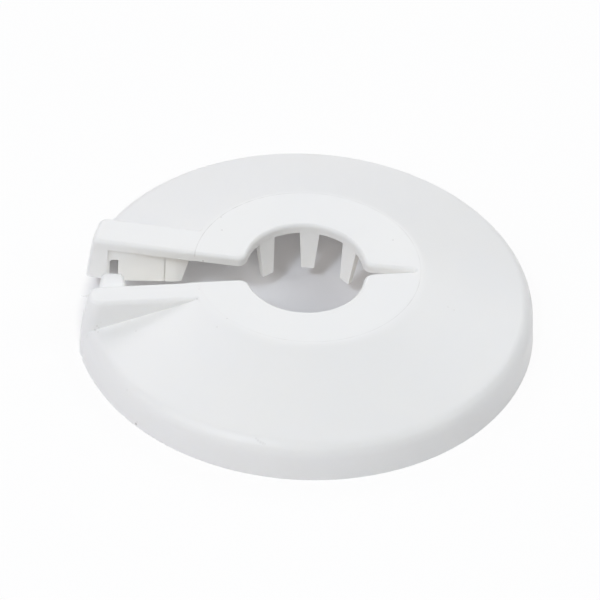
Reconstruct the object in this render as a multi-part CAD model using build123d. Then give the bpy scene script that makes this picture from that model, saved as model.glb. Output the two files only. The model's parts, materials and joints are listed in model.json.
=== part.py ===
from build123d import *
import os
from math import atan, cos, radians, tan

# A clip-on pipe escutcheon: one moulding in white polypropylene, in its free, unlatched state.
# The origin is in the middle of the rim at the wall side, +Z points away from the wall,
# and the slot that lets the pipe in opens towards -X. The rear half, with the catch, is at +Y.

# Dome, the hollow cover plate
rim_radius = 37.5
height = 12.2
wall = 1.7
rim_draft = 4.0
shoulder_height = 6.0
shoulder_round = 3.0
ring_radius = 18.9
ring_blend = 4.0

# Pipe bore, slot and flexing slit
bore_radius = 9.6
bore_spread = 1.05
bore_shift = 0.35
rear_throat = 1.64
rear_mouth = 6.16
front_throat = 2.92
front_mouth = 5.8
throat_round = 1.6
slit_reach = 17.4
slit_root = 2.1
slit_tip = 0.4
slit_round = 1.8
edge_round = 0.75
edge_proud = 0.03

# Arms, the two raised ridges beside the slot
rear_arm_width = 6.2
front_arm_width = 4.45
arm_drop = 0.08
arm_draft = 6.0
rear_side_corner = 1.5
front_side_corner = 2.0
rear_slot_corner = 0.9
front_slot_corner = 2.2
arm_side_wall = 1.4
arm_lap = 0.3
rear_end_inset = 0.8
rear_end_bulge = 0.15
front_end_bulge = 0.4

# Spring prongs round the bore, the same on each half
prongs_per_half = 3
prong_pitch = 44.5
prong_middle_angle = 84.2
prong_root_width = 3.4
prong_tip_width = 2.1
prong_root_depth = 1.1
prong_tip_depth = 0.8
prong_setback = 0.15
prong_lean = 0.7
prong_foot_height = 3.6

# Catch under the rear arm
catch_inset = 6.0
catch_gap = 1.75
catch_depth = 1.3
catch_setback = 0.12
catch_foot_height = 4.1
block_length = 7.5
groove_width = 0.2
groove_depth = 0.25
lug_length = 1.7
lug_reach = 2.95
lug_back = 0.6
lug_taper = 1.95
lug_round = 1.2
lintel_height = 8.0
lintel_setback = 0.55
lintel_lap = 0.4
hole_jamb = 0.35
hole_round = 0.45

# Tongue on the front arm, which hooks into the catch
tongue_clearance = 0.17
tongue_reach = 7.5
tongue_head_width = 4.3
tongue_tip_width = 3.5
tongue_back_width = 2.4
tongue_barb = 2.6
tongue_head_height = 2.0
tongue_head_rise = 0.4
tongue_tip_round = 1.1
tongue_head_round = 0.7
tongue_neck_height = 1.3
tongue_play = 0.3
tongue_root_length = 9.0

# Values that follow from the ones above
rim_lean = tan(radians(rim_draft))
shoulder_radius = rim_radius - shoulder_height * rim_lean
cone_slope = (height - shoulder_height) / (shoulder_radius - ring_radius)
deck = height - arm_drop
ceiling = deck - wall
wall_top = ceiling + wall / 2
slit_slope = (slit_root - slit_tip) / 2 / (slit_reach - bore_radius)
arm_start = -(bore_radius + ring_radius) / 2
arm_zone = -(ring_radius + rim_radius) / 2
beyond_rim = -(rim_radius + wall)
catch_x = -(rim_radius - catch_inset)
pad_end = catch_x - catch_gap / 2
block_start = catch_x + catch_gap / 2
rear = (rear_throat, rear_mouth)
front = (front_throat, front_mouth)


def edge_slope(half):
    """How fast a half's edge leaves the slot's middle line."""
    throat, mouth = half
    return (mouth - throat) / (rim_radius - bore_radius)


def half_gap(half, x):
    """Distance from the slot's middle line to a half's edge, at the place x along the slot."""
    return half[0] - edge_slope(half) * (bore_radius + x)


def side_line(half, width, x):
    """Distance from the slot's middle line to a line that runs along a half's edge, width away from it."""
    return half_gap(half, x) + width / cos(atan(edge_slope(half)))


def slit_half(x):
    """Half of the slit's width at the place x along the slit."""
    return slit_tip / 2 + slit_slope * (slit_reach - x)


def outline(*points):
    """A flat face bounded by straight lines through the points."""
    return make_face(Polyline(*points, close=True))


def upright(face, bottom, top):
    """A plan face drawn out between two heights."""
    return Pos(0, 0, bottom) * extrude(face, top - bottom)


def dome_blank(inset, rounded):
    """The dome as a solid of revolution, pulled in from its skin by inset, with round or sharp corners."""
    foot = rim_radius - inset / cos(radians(rim_draft))
    top = height - inset
    cone_top = height - inset / cos(atan(cone_slope))
    corner_z = (cone_top - (foot - ring_radius) * cone_slope) / (1 - rim_lean * cone_slope)
    corner = (foot - corner_z * rim_lean, corner_z)
    ring_edge = (ring_radius + (cone_top - top) / cone_slope, top)
    section = outline((0, 0), (foot, 0), corner, ring_edge, (0, top))
    if rounded:
        for point, radius in ((corner, shoulder_round), (ring_edge, ring_blend)):
            section = fillet(section.vertices().sort_by_distance((*point, 0))[0], radius)
    return revolve(Plane.XZ * section, axis=Axis.Z)


def end_blank(inset, top, bulge):
    """The drafted, slightly barrelled drum that trims an arm at the rim."""
    foot = rim_radius - inset
    lean = top * tan(radians(arm_draft))
    side = ThreePointArc((foot, 0), (foot - lean / 2 + bulge, top / 2), (foot - lean, top))
    section = make_face(side + Polyline((foot - lean, top), (0, top), (0, 0), (foot, 0)))
    return revolve(Plane.XZ * section, axis=Axis.Z)


def band_plan(half, near, far, start, end):
    """Plan, on the +Y side, of a band along a half's edge between two distances from it."""
    return outline(
        (start, side_line(half, near, start)),
        (end, side_line(half, near, end)),
        (end, side_line(half, far, end)),
        (start, side_line(half, far, start)),
    )


def strip_plan(half, far, start, end):
    """Plan, on the +Y side, from the slot's middle line to a line along a half's edge."""
    far_points = ((end, side_line(half, far, end)), (start, side_line(half, far, start)))
    return outline((start, 0), (end, 0), *far_points)


def arm(half, width, end_inset, end_bulge, slot_corner, side_corner):
    """A solid arm on the +Y side, with its end's corners and its top edges rounded."""
    body = upright(band_plan(half, 0, width, arm_start, beyond_rim), 0, deck)
    body = body & end_blank(end_inset, deck, end_bulge)
    for place, radius in ((0, slot_corner), (-1, side_corner)):
        uprights = body.edges().filter_by(lambda edge: edge.bounding_box().size.Z > deck / 2)
        ends = uprights.filter_by(lambda edge: edge.center().X < arm_start - wall).sort_by(Axis.Y)
        body = fillet(ends[place], radius)
    top_edges = body.faces().sort_by(Axis.Z)[-1].edges()
    return fillet(top_edges.filter_by(lambda edge: edge.center().X < arm_start - wall), edge_round)


def arm_hollow(half, width, end_inset, end_bulge):
    """The space under an arm's top plate, open towards the slot."""
    plan = strip_plan(half, width - arm_side_wall, arm_start, beyond_rim)
    return upright(plan, 0, ceiling) & end_blank(end_inset + wall, ceiling, end_bulge)


def arm_room(half, width):
    """What the dome gives up at the rim so that an arm's rounded end shows."""
    return upright(strip_plan(half, width - arm_lap, arm_zone, beyond_rim), -wall, height + wall)


def opening_plan():
    """Plan of the whole opening: the bore, the slot and the slit, with their corners rounded."""
    bore = Pos(-bore_shift, 0) * SlotCenterToCenter(2 * bore_spread, 2 * bore_radius, rotation=90)
    far_x = beyond_rim - wall
    slot = outline(
        (-bore_shift, half_gap(rear, -bore_shift)),
        (far_x, half_gap(rear, far_x)),
        (far_x, -half_gap(front, far_x)),
        (-bore_shift, -half_gap(front, -bore_shift)),
    )
    tip_x = slit_reach - slit_tip / 2
    root_x = bore_radius - slit_root
    slit = outline(
        (root_x, slit_half(root_x)),
        (tip_x, slit_half(tip_x)),
        (tip_x, -slit_half(tip_x)),
        (root_x, -slit_half(root_x)),
    )
    plan = bore + slot + slit + Pos(tip_x, 0) * Circle(slit_half(tip_x))
    for corner_x, corner_y, radius in (
        (-bore_shift - bore_radius, rear_throat, throat_round),
        (-bore_shift - bore_radius, -front_throat, throat_round),
        (bore_radius - bore_shift, slit_root / 2, slit_round),
        (bore_radius - bore_shift, -slit_root / 2, slit_round),
    ):
        vertex = plan.vertices().sort_by_distance((corner_x, corner_y, 0))[0]
        plan = fillet(vertex, radius)
    return plan


def opening_cutter():
    """The opening as a cutter that leaves a rounded top edge all the way round."""
    plan = opening_plan()
    disc = Circle(2 * rim_radius)
    sheet = upright(disc - plan, height - wall, height + edge_proud)
    sheet = fillet(sheet.faces().sort_by(Axis.Z)[-1].inner_wires()[0].edges(), edge_round)
    return upright(plan, -wall, height - wall) + (upright(disc, height - wall, height + edge_proud) - sheet)


def prong(angle):
    """One spring prong of the +Y half, at an angle round that half's pipe centre."""
    root = Pos(bore_radius + prong_setback + prong_root_depth / 2, 0, wall_top)
    tip = Pos(bore_radius - prong_lean + prong_tip_depth / 2, 0, prong_foot_height)
    finger = loft([
        root * Rectangle(prong_root_depth, prong_root_width),
        tip * Rectangle(prong_tip_depth, prong_tip_width),
    ])
    return Pos(-bore_shift, bore_spread, 0) * Rot(0, 0, angle) * finger


def end_pad():
    """The wall at the end of the rear arm."""
    pad_start = -(rim_radius - rear_end_inset - wall / 2)
    plan = band_plan(rear, catch_setback, catch_depth, pad_start, pad_end)
    pad = upright(plan, catch_foot_height, wall_top)
    return pad & end_blank(rear_end_inset + wall / 2, wall_top, rear_end_bulge)


def catch_block():
    """The block that the tongue hooks behind, with its groove and its bent, tapered lug."""
    block_end = block_start + block_length
    face_y = half_gap(rear, block_start) + catch_setback
    back_y = face_y + catch_depth
    bend_x = block_end + groove_width + lug_length
    lug_x = bend_x + lug_reach
    plan = outline(
        (block_start, face_y),
        (bend_x, face_y),
        (lug_x, face_y + lug_back),
        (lug_x, back_y + lug_back),
        (bend_x, back_y),
        (block_start, back_y),
    )
    plan = fillet(plan.vertices().sort_by_distance((bend_x, face_y, 0))[0], lug_round)
    groove = Pos(block_end + groove_width / 2, face_y) * Rectangle(groove_width, 2 * groove_depth)
    block = upright(plan - groove, catch_foot_height, wall_top)
    wedge = outline((lug_x, wall_top), (lug_x, catch_foot_height), (lug_x - lug_taper, catch_foot_height))
    return block - extrude(Plane.XZ * wedge, rim_radius, both=True)


def catch_lintel():
    """The set-back wall between the end pad and the block, with the hole for the tongue's neck."""
    front_y = half_gap(rear, catch_x) + lintel_setback
    back_y = half_gap(rear, block_start) + catch_depth
    panel = outline(
        (pad_end - lintel_lap, front_y),
        (block_start + lintel_lap, front_y),
        (block_start + lintel_lap, back_y),
        (pad_end - lintel_lap, back_y),
    )
    hole_width = catch_gap + lintel_lap - hole_jamb
    hole = Pos(pad_end + hole_jamb + hole_width / 2, back_y) * Rectangle(hole_width, 2 * catch_depth)
    hole = upright(hole, catch_foot_height - wall, lintel_height)
    hole = fillet(hole.edges().filter_by(Axis.Y).group_by(Axis.Z)[-1], hole_round)
    return upright(panel, catch_foot_height, wall_top) - hole


def catch_notch():
    """The cut-back in the rim below the end of the rear arm."""
    return upright(strip_plan(rear, rear_arm_width - arm_lap, pad_end, beyond_rim), -wall, catch_foot_height)


def catch_step():
    """The slight cut-back of the rear arm's end wall, below the top plate and level with the catch."""
    return upright(strip_plan(rear, catch_setback, arm_zone, beyond_rim), -wall, ceiling)


def tongue():
    """The tongue with its rounded head, modelled on the +Y side, and the wall that carries it."""
    edge_y = half_gap(front, catch_x)
    tip_y = edge_y - tongue_reach
    hook_y = edge_y - catch_depth - tongue_play
    head_top = lintel_height + tongue_head_rise
    head = Pos(catch_x, 0) * outline(
        (-tongue_tip_width / 2, tip_y),
        (tongue_tip_width / 2, tip_y),
        (tongue_head_width / 2, tip_y + tongue_barb),
        (tongue_back_width / 2, hook_y),
        (-tongue_back_width / 2, hook_y),
        (-tongue_head_width / 2, tip_y + tongue_barb),
    )
    head = fillet(head.vertices().sort_by(Axis.Y)[:4], tongue_tip_round)
    head = upright(head, head_top - tongue_head_height, head_top)
    head = fillet(head.faces().sort_by(Axis.Z)[-1].edges(), tongue_head_round)
    neck_top = lintel_height - tongue_clearance
    neck_width = catch_gap - hole_jamb - 2 * tongue_clearance
    neck_length = edge_y + catch_depth - tip_y - tongue_tip_round
    neck = Pos(catch_x, (tip_y + edge_y + catch_depth) / 2) * Rectangle(neck_width, neck_length)
    neck = upright(neck, neck_top - tongue_neck_height, neck_top)
    root_start = catch_x - tongue_root_length / 2
    root_end = catch_x + tongue_root_length / 2
    root = upright(band_plan(front, 0, catch_depth, root_start, root_end), catch_foot_height, wall_top)
    return head + neck + (root & end_blank(wall / 2, wall_top, front_end_bulge))


def on_front(solid):
    """The same solid on the -Y half."""
    return mirror(solid, about=Plane.XZ)


def escutcheon():
    """The whole moulding."""
    body = dome_blank(0, True) - opening_cutter()
    body = body - arm_room(rear, rear_arm_width) - on_front(arm_room(front, front_arm_width))
    body += arm(rear, rear_arm_width, rear_end_inset, rear_end_bulge, rear_slot_corner, rear_side_corner)
    body += on_front(arm(front, front_arm_width, 0, front_end_bulge, front_slot_corner, front_side_corner))
    hollow = dome_blank(wall, False) + arm_hollow(rear, rear_arm_width, rear_end_inset, rear_end_bulge)
    hollow += on_front(arm_hollow(front, front_arm_width, 0, front_end_bulge))
    body = body - hollow - catch_notch() - catch_step()
    for step in range(prongs_per_half):
        finger = prong(prong_middle_angle + (step - (prongs_per_half - 1) / 2) * prong_pitch)
        body += finger
        body += on_front(finger)
    for piece in (end_pad(), catch_block(), catch_lintel(), on_front(tongue())):
        body += piece
    return body


os.makedirs("parts", exist_ok=True)
export_step(escutcheon(), "parts/escutcheon.step")
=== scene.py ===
import json
import logging
from dataclasses import dataclass
from enum import Enum
from math import cos, radians, sin
from typing import Any, Union

import bpy
from mathutils import Matrix, Vector

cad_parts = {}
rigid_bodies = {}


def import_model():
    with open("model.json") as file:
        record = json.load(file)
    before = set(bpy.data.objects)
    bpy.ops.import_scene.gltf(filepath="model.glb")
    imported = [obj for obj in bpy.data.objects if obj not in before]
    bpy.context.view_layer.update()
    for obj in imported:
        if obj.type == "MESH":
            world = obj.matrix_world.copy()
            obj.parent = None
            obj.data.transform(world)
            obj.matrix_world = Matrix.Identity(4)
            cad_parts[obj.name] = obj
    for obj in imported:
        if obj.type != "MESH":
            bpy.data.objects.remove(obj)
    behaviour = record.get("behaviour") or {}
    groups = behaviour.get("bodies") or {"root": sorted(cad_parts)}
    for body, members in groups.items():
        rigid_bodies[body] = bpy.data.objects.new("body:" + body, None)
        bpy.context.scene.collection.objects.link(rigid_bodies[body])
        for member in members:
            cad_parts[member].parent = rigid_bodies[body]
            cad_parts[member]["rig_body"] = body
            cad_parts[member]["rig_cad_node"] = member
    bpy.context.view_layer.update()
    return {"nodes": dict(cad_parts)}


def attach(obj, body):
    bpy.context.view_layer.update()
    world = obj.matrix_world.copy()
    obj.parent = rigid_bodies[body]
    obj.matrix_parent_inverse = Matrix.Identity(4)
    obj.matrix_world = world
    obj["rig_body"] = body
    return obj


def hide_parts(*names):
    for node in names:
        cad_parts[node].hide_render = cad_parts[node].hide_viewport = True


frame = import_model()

log = logging.getLogger("escutcheon")

MM = 0.001

Key = Union[str, int]
Colour = tuple[float, float, float, float]
Tint = tuple[float, float, float]

# The Mix node's sockets for colours, which have the same names as its sockets for numbers.
MIX_FACTOR, MIX_UNDER, MIX_OVER, MIX_RESULT = 0, 6, 7, 2

# What a noise pattern is on average.
NOISE_MEAN = 0.5

# The inner share of a line's or a speck's width that has its full strength.
CORE = 0.2


class Value:
    """A shader socket that Python's operators work on, each through a Math node."""

    def __init__(self, sheet: "NodeSheet", socket: bpy.types.NodeSocket) -> None:
        """Keeps the sheet that new Math nodes are added to, and the output socket."""
        self.sheet = sheet
        self.socket = socket

    def math(self, operation: str, *others: "Number", first: bool = True) -> "Value":
        """Adds one Math node, with this value as its first operand or as its last."""
        operands = (self, *others) if first else (*others, self)
        return self.sheet.add("ShaderNodeMath", {"operation": operation}, dict(enumerate(operands)))

    def __add__(self, other: "Number") -> "Value":
        """This value plus another."""
        return self.math("ADD", other)

    def __sub__(self, other: "Number") -> "Value":
        """This value less another."""
        return self.math("SUBTRACT", other)

    def __mul__(self, other: "Number") -> "Value":
        """This value times another."""
        return self.math("MULTIPLY", other)

    def __pow__(self, other: "Number") -> "Value":
        """This value to a power."""
        return self.math("POWER", other)

    def __radd__(self, other: "Number") -> "Value":
        """A number plus this value."""
        return self.math("ADD", other, first=False)

    def __rsub__(self, other: "Number") -> "Value":
        """A number less this value."""
        return self.math("SUBTRACT", other, first=False)

    def __rmul__(self, other: "Number") -> "Value":
        """A number times this value."""
        return self.math("MULTIPLY", other, first=False)

    def __abs__(self) -> "Value":
        """This value without its sign."""
        return self.math("ABSOLUTE")

    def at_least(self, other: "Number") -> "Value":
        """The larger of this value and another."""
        return self.math("MAXIMUM", other)

    def rise(self, start: float, end: float) -> "Value":
        """Goes smoothly from 0 at start to 1 at end, and stays there."""
        limits = {"Value": self, "From Min": start, "From Max": end, "To Min": 0.0, "To Max": 1.0}
        return self.sheet.add("ShaderNodeMapRange", {"interpolation_type": "SMOOTHSTEP"}, limits)


Number = Union[Value, float]


class NodeSheet:
    """The node tree of one material or of the world."""

    def __init__(self, owner: Union[bpy.types.Material, bpy.types.World]) -> None:
        """Clears the owner's node tree.

        Args:
            owner: The material or world that the nodes belong to.
        """
        owner.use_nodes = True
        self.tree = owner.node_tree
        self.tree.nodes.clear()

    def node(
        self, kind: str, settings: dict[str, Any], sockets: dict[Key, Any]
    ) -> bpy.types.Node:
        """Adds any node.

        Args:
            kind: The node's type.
            settings: The node's own settings, which are set first.
            sockets: A value or a link for each input, by name or number.

        Returns:
            The node.
        """
        node = self.tree.nodes.new(kind)
        for name, setting in settings.items():
            setattr(node, name, setting)
        for key, content in sockets.items():
            if isinstance(content, Value):
                self.tree.links.new(content.socket, node.inputs[key])
            else:
                node.inputs[key].default_value = content
        return node

    def add(
        self, kind: str, settings: dict[str, Any], sockets: dict[Key, Any], output: Key = 0
    ) -> Value:
        """Adds any node and hands on one of its outputs, by name or number."""
        return Value(self, self.node(kind, settings, sockets).outputs[output])

    def blend(self, factor: Number, under: Any, over: Any) -> Value:
        """Mixes two colours, by how much of the upper one shows."""
        sockets = {MIX_FACTOR: factor, MIX_UNDER: under, MIX_OVER: over}
        return self.add("ShaderNodeMix", {"data_type": "RGBA"}, sockets, MIX_RESULT)

    def axes(self, place: Value) -> tuple[Value, Value, Value]:
        """Splits coordinates into X, Y and Z."""
        return tuple(self.add("ShaderNodeSeparateXYZ", {}, {0: place}, axis) for axis in "XYZ")


def colour(red: float, green: float, blue: float) -> Colour:
    """An opaque colour for a socket, from linear parts."""
    return (red, green, blue, 1.0)


WHITE = colour(1.0, 1.0, 1.0)


@dataclass(frozen=True)
class Noise:
    """A noise pattern: its waves to the metre, and its number of finer layers."""

    scale: float
    detail: float

    def on(self, sheet: NodeSheet, place: Value) -> Value:
        """The pattern at a place."""
        sockets = {"Vector": place, "Scale": self.scale, "Detail": self.detail}
        return sheet.add("ShaderNodeTexNoise", {}, sockets, "Fac")


@dataclass(frozen=True)
class Side:
    """One side of the cover in plan: a direction, and where along it the side begins and is full.

    The direction is a pair of parts along X and Y, and the places are in millimetres.
    """

    along_x: float
    along_y: float
    start: float
    full: float

    def mask(self, x: Value, y: Value) -> Value:
        """1 well into the side, and 0 off it."""
        return (x * self.along_x + y * self.along_y).rise(self.start * MM, self.full * MM)


@dataclass(frozen=True)
class PartingLine:
    """The fine round line that a joint in the mould leaves on the flat ring, in millimetres. Its
    dark colour is painted shade of the small step at the joint, together with dirt.
    """

    radius: float = 18.46
    shift: float = 0.35
    width: float = 0.14
    lowest: float = 11.2
    full_height: float = 11.6
    # The side where the line's painted shade is faint: the front left.
    faint_side: Side = Side(-0.87, -0.5, 14.0, 17.0)
    fading: float = 0.75
    gaps: Noise = Noise(420.0, 3.0)
    gap_edges: tuple[float, float] = (0.36, 0.70)
    # How dark the line is, as painted shade of the step at the mould joint together with dirt; more
    # at the rear left and front right.
    least_darkening: float = 0.35
    dirt_and_shade: float = 0.13
    rear_left: Side = Side(-0.74, 0.67, 13.0, 17.5)
    rear_left_darkening: float = 0.16
    front_right: Side = Side(0.82, -0.57, 15.5, 18.0)
    front_right_darkening: float = 0.06

    def mask(self, sheet: NodeSheet, place: Value) -> Value:
        """A mask for the line.

        Args:
            sheet: The material's nodes.
            place: The Object coordinates.

        Returns:
            1 on the line, less at the front left, where its painted shade is faint, and 0 off the
            line.
        """
        x, y, z = sheet.axes(place)
        across = y - self.shift * MM
        off_line = abs((x * x + across * across) ** 0.5 - self.radius * MM)
        drawn = 1.0 - off_line.rise(CORE * self.width * MM, self.width * MM)
        on_top = z.rise(self.lowest * MM, self.full_height * MM)
        # Less of the line at the front left, where its painted shade is kept faint.
        return drawn * on_top * (1.0 - self.faint_side.mask(x, y) * self.fading)

    def darken(self, sheet: NodeSheet, place: Value, line: Value) -> Value:
        """A mask for the line's darkening, painted shade of the step at the mould joint together
        with dirt: broken, and most at the rear left and front right.

        Args:
            sheet: The material's nodes.
            place: The Object coordinates.
            line: The line's mask.

        Returns:
            How much of the dark colour, painted shade and dirt, shows.
        """
        x, y, _ = sheet.axes(place)
        held = self.gaps.on(sheet, place).rise(*self.gap_edges)
        broken = self.least_darkening + held * (1.0 - self.least_darkening)
        rear_left = self.rear_left.mask(x, y) * self.rear_left_darkening
        front_right = self.front_right.mask(x, y) * self.front_right_darkening
        # Painted shade and dirt along the line, darkest at the rear left and front right.
        return line * broken * (self.dirt_and_shade + rear_left + front_right)


@dataclass(frozen=True)
class Speck:
    """A grain of dirt or a nick in the plastic, in millimetres."""

    x: float
    y: float
    z: float
    size: float
    strength: float

    def darken(self, sheet: NodeSheet, place: Value) -> Value:
        """A mask for the speck.

        Args:
            sheet: The material's nodes.
            place: The Object coordinates.

        Returns:
            How much of the dirt's colour shows.
        """
        ends = {0: place, 1: (self.x * MM, self.y * MM, self.z * MM)}
        away = sheet.add("ShaderNodeVectorMath", {"operation": "DISTANCE"}, ends, "Value")
        return (1.0 - away.rise(CORE * self.size * MM, self.size * MM)) * self.strength


@dataclass(frozen=True)
class MouldedWhite:
    """White polypropylene, as it comes from a smooth steel mould, with the marks of handling, and a
    parting line whose dark colour is partly painted shade.

    Depths are in millimetres.
    """

    slot: str = "white_plastic"
    body: Colour = colour(0.885, 0.880, 0.866)
    cloud: Colour = colour(0.875, 0.874, 0.868)
    # The dark colour: dirt in the specks, and painted shade with dirt in the parting line.
    dirt_and_shade: Colour = colour(0.26, 0.23, 0.20)
    clouds: Noise = Noise(60.0, 3.0)
    cloud_edges: tuple[float, float] = (0.35, 0.75)
    grain: Noise = Noise(2600.0, 2.0)
    roughness: float = 0.44
    roughness_swing: float = 0.10
    dark_mark_roughness: float = 0.3
    refraction: float = 1.49
    translucency: float = 0.15
    translucency_tint: Tint = (1.0, 0.95, 0.85)
    translucency_depth: float = 0.6
    relief_strength: float = 0.25
    relief_depth: float = 0.02
    grain_share: float = 0.5
    cloud_share: float = 0.8
    line_share: float = 1.2
    line: PartingLine = PartingLine()
    specks: tuple[Speck, ...] = (
        Speck(-13.81, 8.91, 12.20, 0.18, 0.40),
        Speck(-13.96, 12.19, 12.19, 0.26, 0.28),
        Speck(-17.92, -8.03, 11.95, 0.22, 0.26),
        Speck(-17.60, -5.84, 12.19, 0.18, 0.16),
        Speck(-13.12, -12.90, 12.19, 0.20, 0.22),
        Speck(-14.71, -14.37, 11.63, 0.20, 0.18),
        Speck(-27.65, -12.06, 8.36, 0.22, 0.15),
        Speck(-34.23, -9.92, 6.49, 0.34, 0.24),
        Speck(-33.93, -9.89, 7.34, 0.24, 0.20),
        Speck(-33.75, -10.50, 6.59, 0.16, 0.25),
        Speck(-34.60, -10.10, 6.35, 0.18, 0.22),
        Speck(-33.60, -9.90, 6.95, 0.16, 0.26),
        Speck(-33.30, -9.90, 8.00, 0.16, 0.18),
        Speck(-29.99, 5.29, 6.77, 0.20, 0.12),
        Speck(-16.88, 2.82, 10.69, 0.22, 0.45),
        Speck(14.12, 7.33, 12.20, 0.20, 0.30),
        Speck(22.73, -7.06, 10.52, 0.20, 0.15),
        Speck(23.72, -7.36, 10.17, 0.20, 0.15),
        Speck(-8.45, -34.84, 6.31, 0.28, 0.10),
        Speck(-8.13, -35.14, 6.17, 0.32, 0.12),
        Speck(-7.73, -35.38, 6.04, 0.34, 0.12),
        Speck(-7.33, -35.53, 5.97, 0.34, 0.11),
        Speck(-7.01, -35.65, 5.92, 0.28, 0.08),
        # A dark spot on the foot of the rim, at its outline.
        Speck(-27.38, -25.56, 0.42, 0.34, 0.55),
        Speck(-27.24, -25.66, 0.95, 0.22, 0.20),
        Speck(-28.95, -22.81, 5.23, 0.30, 0.07),
    )

    def material(self) -> bpy.types.Material:
        """Builds the material.

        Returns:
            The material, on Object coordinates.
        """
        material = bpy.data.materials.new(self.slot)
        sheet = NodeSheet(material)
        place = sheet.add("ShaderNodeTexCoord", {}, {}, "Object")
        broad = self.clouds.on(sheet, place)
        grain = self.grain.on(sheet, place)
        line = self.line.mask(sheet, place)
        # Where the dark colour shows: dirt specks, and painted shade with dirt along the parting
        # line.
        darkened = self.darken(sheet, place, line)
        clean = sheet.blend(broad.rise(*self.cloud_edges), self.body, self.cloud)
        gloss = self.roughness + (broad - NOISE_MEAN) * self.roughness_swing
        uneven = grain * self.grain_share + broad * self.cloud_share - line * self.line_share
        sockets = {
            "Base Color": sheet.blend(darkened, clean, self.dirt_and_shade),
            "Roughness": gloss + darkened * self.dark_mark_roughness,
            "IOR": self.refraction,
            "Subsurface Weight": self.translucency,
            "Subsurface Radius": self.translucency_tint,
            "Subsurface Scale": self.translucency_depth * MM,
            "Normal": self.relief(sheet, uneven),
        }
        shader = sheet.add("ShaderNodeBsdfPrincipled", {}, sockets)
        sheet.node("ShaderNodeOutputMaterial", {}, {"Surface": shader})
        return material

    def darken(self, sheet: NodeSheet, place: Value, line: Value) -> Value:
        """A mask for dark marks: painted shade with dirt in the parting line, and dirt in single
        specks.

        Args:
            sheet: The material's nodes.
            place: The Object coordinates.
            line: The parting line's mask.

        Returns:
            How much of the dark colour shows.
        """
        darkened = self.line.darken(sheet, place, line)
        for speck in self.specks:
            darkened = darkened.at_least(speck.darken(sheet, place))
        return darkened

    def relief(self, sheet: NodeSheet, height: Value) -> Value:
        """The normal of a slightly uneven surface, from the unevenness as a height."""
        depth = self.relief_depth * MM
        sockets = {"Strength": self.relief_strength, "Distance": depth, "Height": height}
        return sheet.add("ShaderNodeBump", {}, sockets)


def pick_only(piece: bpy.types.Object) -> None:
    """Deselects everything, then selects one object and makes it active.

    Args:
        piece: The object.
    """
    bpy.ops.object.select_all(action="DESELECT")
    piece.select_set(True)
    bpy.context.view_layer.objects.active = piece


@dataclass
class Moulding:
    """The escutcheon itself, in one piece: its crease in degrees and its weld in millimetres."""

    node: str = "escutcheon"
    body: str = "root"
    crease: float = 32.0
    weld: float = 0.002

    def build(self, slot: str, material: bpy.types.Material) -> bpy.types.Object:
        """Makes a smooth-shaded copy of the CAD node and dresses it.

        Args:
            slot: The record's name for the material; not used.
            material: The plastic.

        Returns:
            The finished piece.
        """
        piece = self.copy_node()
        self.smooth(piece)
        piece.data.materials.clear()
        piece.data.materials.append(material)
        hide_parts(self.node)
        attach(piece, self.body)
        return piece

    def copy_node(self) -> bpy.types.Object:
        """Copies the CAD node with its mesh, and without the marks that make it one.

        Returns:
            The copy.
        """
        source = frame["nodes"][self.node]
        piece = source.copy()
        piece.data = source.data.copy()
        piece.name = f"{self.node}_moulding"
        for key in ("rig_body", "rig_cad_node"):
            if key in piece:
                del piece[key]
        piece.parent = None
        bpy.context.collection.objects.link(piece)
        return piece

    def smooth(self, piece: bpy.types.Object) -> None:
        """Merges the mesh's loose triangles and shades it smooth between its creases.

        Args:
            piece: The copy of the CAD node.
        """
        pick_only(piece)
        bpy.ops.object.mode_set(mode="EDIT")
        bpy.ops.mesh.select_all(action="SELECT")
        bpy.ops.mesh.remove_doubles(threshold=self.weld * MM)
        bpy.ops.object.mode_set(mode="OBJECT")
        bpy.ops.mesh.customdata_custom_splitnormals_clear()
        bpy.ops.object.shade_smooth_by_angle(angle=radians(self.crease))
        weighted = piece.modifiers.new("even faces", "WEIGHTED_NORMAL")
        weighted.mode = "FACE_AREA"
        weighted.keep_sharp = True
        bpy.ops.object.modifier_apply(modifier=weighted.name)


@dataclass(frozen=True)
class Flash:
    """A sliver of plastic that has crept into a joint of the mould, in millimetres and degrees.

    The tip and the rounding are shares of the sliver's own thickness.
    """

    name: str
    middle: tuple[float, float, float]
    length: float
    thickness: float
    turn: float
    body: str = "root"
    sides: int = 12
    tip: float = 0.36
    rounding: float = 0.12
    rounding_steps: int = 2
    crease: float = 50.0

    def build(self, slot: str, material: bpy.types.Material) -> bpy.types.Object:
        """Draws a cone out into a blunt, tapering sliver and seats it on its edge.

        Args:
            slot: The record's name for the material; not used.
            material: The plastic.

        Returns:
            The finished piece.
        """
        origin = (0.0, 0.0, 0.0)
        size = (self.length * MM, self.thickness * MM, self.thickness * MM)
        bpy.ops.object.select_all(action="DESELECT")
        bpy.ops.mesh.primitive_cone_add(
            vertices=self.sides, radius1=0.5, radius2=self.tip / 2, depth=1.0
        )
        piece = bpy.context.object
        piece.name = self.name
        bpy.ops.object.mode_set(mode="EDIT")
        bpy.ops.mesh.select_all(action="SELECT")
        bpy.ops.mesh.bevel(offset=self.rounding, segments=self.rounding_steps, affect="EDGES")
        bpy.ops.transform.rotate(value=radians(90.0), orient_axis="Y", center_override=origin)
        bpy.ops.transform.resize(value=size, center_override=origin)
        bpy.ops.transform.rotate(value=radians(self.turn), orient_axis="Z", center_override=origin)
        bpy.ops.transform.translate(value=tuple(part * MM for part in self.middle))
        bpy.ops.object.mode_set(mode="OBJECT")
        bpy.ops.object.shade_smooth_by_angle(angle=radians(self.crease))
        piece.data.materials.append(material)
        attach(piece, self.body)
        return piece


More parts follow.
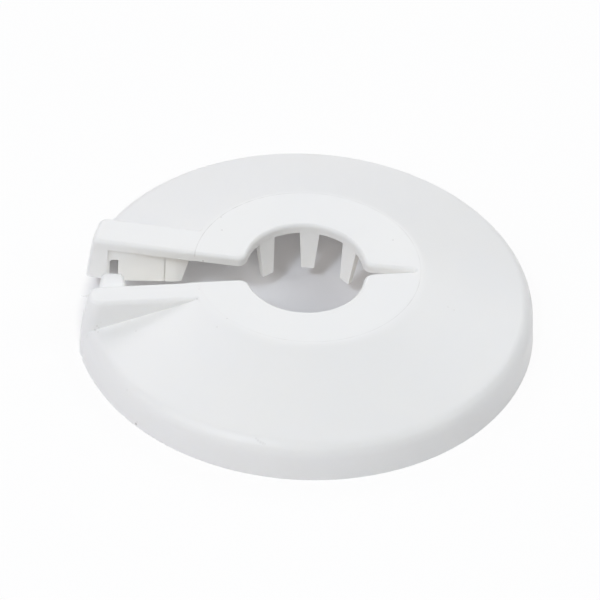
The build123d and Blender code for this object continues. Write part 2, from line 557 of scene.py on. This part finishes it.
FLASHES = (
    Flash("flash_catch", (-26.65, 4.40, 10.50), 0.55, 0.22, -9.0),
    Flash("flash_lug", (-20.63, 3.43, 10.52), 0.70, 0.24, -9.0),
    Flash("flash_plate", (-18.35, 3.06, 10.52), 0.45, 0.20, -9.0),
    Flash("flash_front_edge", (-18.08, -4.16, 12.06), 0.40, 0.20, 6.0),
    Flash("flash_arm_end", (-36.00, -7.30, 11.45), 1.25, 0.20, 184.0),
)


def towards(azimuth: float, elevation: float) -> Vector:
    """The direction from the part to a place round it.

    Args:
        azimuth: The compass direction in degrees, where 0 is the front, at -Y, and 90 is +X.
        elevation: The height above the floor in degrees.

    Returns:
        The direction, one unit long.
    """
    turn, lift = radians(azimuth), radians(elevation)
    return Vector((sin(turn) * cos(lift), -cos(turn) * cos(lift), sin(lift)))


class LampShape(Enum):
    """The outline of a flat lamp."""

    SQUARE = "SQUARE"
    ROUND = "DISK"


def flat_lamp(
    name: str, shape: LampShape, size: float, power: float, tint: Tint
) -> bpy.types.Object:
    """Adds a flat lamp at the origin, facing down.

    Args:
        name: The lamp's name.
        shape: Its outline.
        size: Its side or diameter in metres.
        power: Its power in watts.
        tint: The colour of its light.

    Returns:
        The lamp.
    """
    data = bpy.data.lights.new(name, "AREA")
    data.shape = shape.value
    data.size = size
    data.energy = power
    data.color = tint
    lamp = bpy.data.objects.new(name, data)
    bpy.context.collection.objects.link(lamp)
    return lamp


@dataclass(frozen=True)
class SoftBox:
    """A square lamp that faces the part, in degrees, watts and metres."""

    name: str
    azimuth: float
    elevation: float
    power: float
    tint: Tint
    side: float = 0.5
    distance: float = 1.0

    def build(self) -> None:
        """Hangs the lamp."""
        place = self.distance * towards(self.azimuth, self.elevation)
        lamp = flat_lamp(self.name, LampShape.SQUARE, self.side, self.power, self.tint)
        lamp.location = place
        lamp.rotation_euler = (-place).to_track_quat("-Z", "Y").to_euler()


@dataclass(frozen=True)
class UnderLight:
    """A round lamp on the floor inside the cover, in millimetres and watts.

    It stands in for the light that comes through the plastic.
    """

    name: str
    x: float
    y: float
    radius: float
    power: float
    tint: Tint
    lift: float = 0.05

    def build(self) -> None:
        """Lays the lamp down, facing up, where only the inside of the cover sees it."""
        diameter = 2.0 * self.radius * MM
        lamp = flat_lamp(self.name, LampShape.ROUND, diameter, self.power, self.tint)
        lamp.location = (self.x * MM, self.y * MM, self.lift * MM)
        lamp.rotation_euler = (radians(180.0), 0.0, 0.0)
        lamp.visible_camera = False
        lamp.visible_glossy = False


class Ray(Enum):
    """The kinds of ray that show the background itself, rather than only light things."""

    CAMERA = "Is Camera Ray"
    GLOSSY = "Is Glossy Ray"
    TRANSMISSION = "Is Transmission Ray"


@dataclass
class Studio:
    """A pale floor, soft boxes all round and a white background.

    The floor's side is in metres. Its glow begins and is full at radii in millimetres.
    """

    floor_side: float = 3.0
    floor_colour: Colour = colour(0.92, 0.912, 0.935)
    floor_glow: float = 0.93
    inner_glow: float = 0.08
    glow_start: float = 34.8
    glow_end: float = 37.8
    boxes: tuple[SoftBox, ...] = (
        SoftBox("key", -32.0, 52.0, 2.74, (0.82, 0.90, 1.0), 0.14),
        SoftBox("front", 0.0, 40.0, 0.62, (1.0, 0.85, 0.70), 0.3),
        SoftBox("front_left", -50.0, 35.0, 2.24, (1.0, 0.99, 0.94)),
        SoftBox("left", -75.0, 25.0, 1.05, (0.93, 0.90, 1.0)),
        SoftBox("right", 68.0, 44.0, 2.74, (0.96, 0.99, 0.99)),
        SoftBox("rear_left", -135.0, 45.0, 1.66, (0.98, 0.97, 1.0)),
        SoftBox("rear", 180.0, 34.0, 1.76, (0.97, 0.98, 1.0)),
        SoftBox("rear_right", 135.0, 41.0, 2.26, (0.97, 0.97, 1.0)),
    )
    under_lights: tuple[UnderLight, ...] = (
        UnderLight("under_bore", 12.0, 0.0, 18.0, 0.00088, (1.0, 0.94, 0.86)),
        UnderLight("under_catch", -25.0, -1.0, 8.0, 0.00044, (1.0, 0.98, 0.85)),
    )

    def build(self) -> None:
        """Lays the floor and sets the lamps and the world."""
        bpy.ops.object.select_all(action="DESELECT")
        bpy.ops.mesh.primitive_plane_add(size=self.floor_side)
        floor = bpy.context.object
        floor.name = "floor"
        floor.data.materials.append(self.floor_material())
        for lamp in (*self.boxes, *self.under_lights):
            lamp.build()
        self.whiten_world()
        bpy.context.scene.view_settings.view_transform = "Standard"

    def seen(self, sheet: NodeSheet) -> Value:
        """1 for rays that show the background itself, and 0 for rays that only light things."""
        rays = (sheet.add("ShaderNodeLightPath", {}, {}, ray.value) for ray in Ray)
        camera, glossy, transmission = rays
        return camera.at_least(glossy).at_least(transmission)

    def floor_material(self) -> bpy.types.Material:
        """A matt pale floor that keeps shadows, and is near white where it is seen round the part.

        Returns:
            The material.
        """
        material = bpy.data.materials.new("pale_floor")
        sheet = NodeSheet(material)
        x, y, _ = sheet.axes(sheet.add("ShaderNodeTexCoord", {}, {}, "Object"))
        outside = ((x * x + y * y) ** 0.5).rise(self.glow_start * MM, self.glow_end * MM)
        matt = sheet.add("ShaderNodeBsdfDiffuse", {}, {"Color": self.floor_colour})
        glow = sheet.add("ShaderNodeEmission", {}, {"Color": WHITE, "Strength": 1.0})
        lifted = self.inner_glow + outside * (self.floor_glow - self.inner_glow)
        sockets = {0: self.seen(sheet) * lifted, 1: matt, 2: glow}
        mixed = sheet.add("ShaderNodeMixShader", {}, sockets)
        sheet.node("ShaderNodeOutputMaterial", {}, {"Surface": mixed})
        return material

    def whiten_world(self) -> None:
        """Makes the world white where it is seen. It lights nothing."""
        world = bpy.data.worlds.new("studio")
        bpy.context.scene.world = world
        sheet = NodeSheet(world)
        sockets = {"Color": WHITE, "Strength": self.seen(sheet)}
        sky = sheet.add("ShaderNodeBackground", {}, sockets)
        sheet.node("ShaderNodeOutputWorld", {}, {"Surface": sky})


@dataclass
class Viewpoint:
    """The camera, at the photograph's angle, in degrees and metres, with its lens in millimetres."""

    elevation: float = 41.19
    azimuth: float = -2.92
    roll: float = 3.14
    aim: tuple[float, float, float] = (-0.00060, 0.00590, 0.0)
    distance: float = 0.98622
    lens: float = 360.0
    sensor: float = 36.0
    nearest: float = 0.01
    farthest: float = 20.0

    def build(self) -> None:
        """Sets up the camera."""
        turn, roll = radians(self.azimuth), radians(self.roll)
        back = towards(self.azimuth, self.elevation)
        right = Vector((cos(turn), sin(turn), 0.0))
        up = back.cross(right)
        across = cos(roll) * right + sin(roll) * up
        along = cos(roll) * up - sin(roll) * right
        data = bpy.data.cameras.new("camera")
        data.lens = self.lens
        data.sensor_width = self.sensor
        data.clip_start = self.nearest
        data.clip_end = self.farthest
        camera = bpy.data.objects.new("camera", data)
        place = Matrix.Translation(Vector(self.aim) + back * self.distance)
        camera.matrix_world = place @ Matrix((across, along, back)).transposed().to_4x4()
        bpy.context.collection.objects.link(camera)
        bpy.context.scene.camera = camera


def main() -> None:
    """Builds the moulding, the studio and the camera."""
    logging.basicConfig(level=logging.INFO, format="%(name)s: %(message)s")
    finish = MouldedWhite()
    plastic = finish.material()
    for part in (Moulding(), *FLASHES):
        piece = part.build(finish.slot, plastic)
        log.info("%s: %d faces", piece.name, len(piece.data.polygons))
    Studio().build()
    Viewpoint().build()


if __name__ == "__main__":
    main()
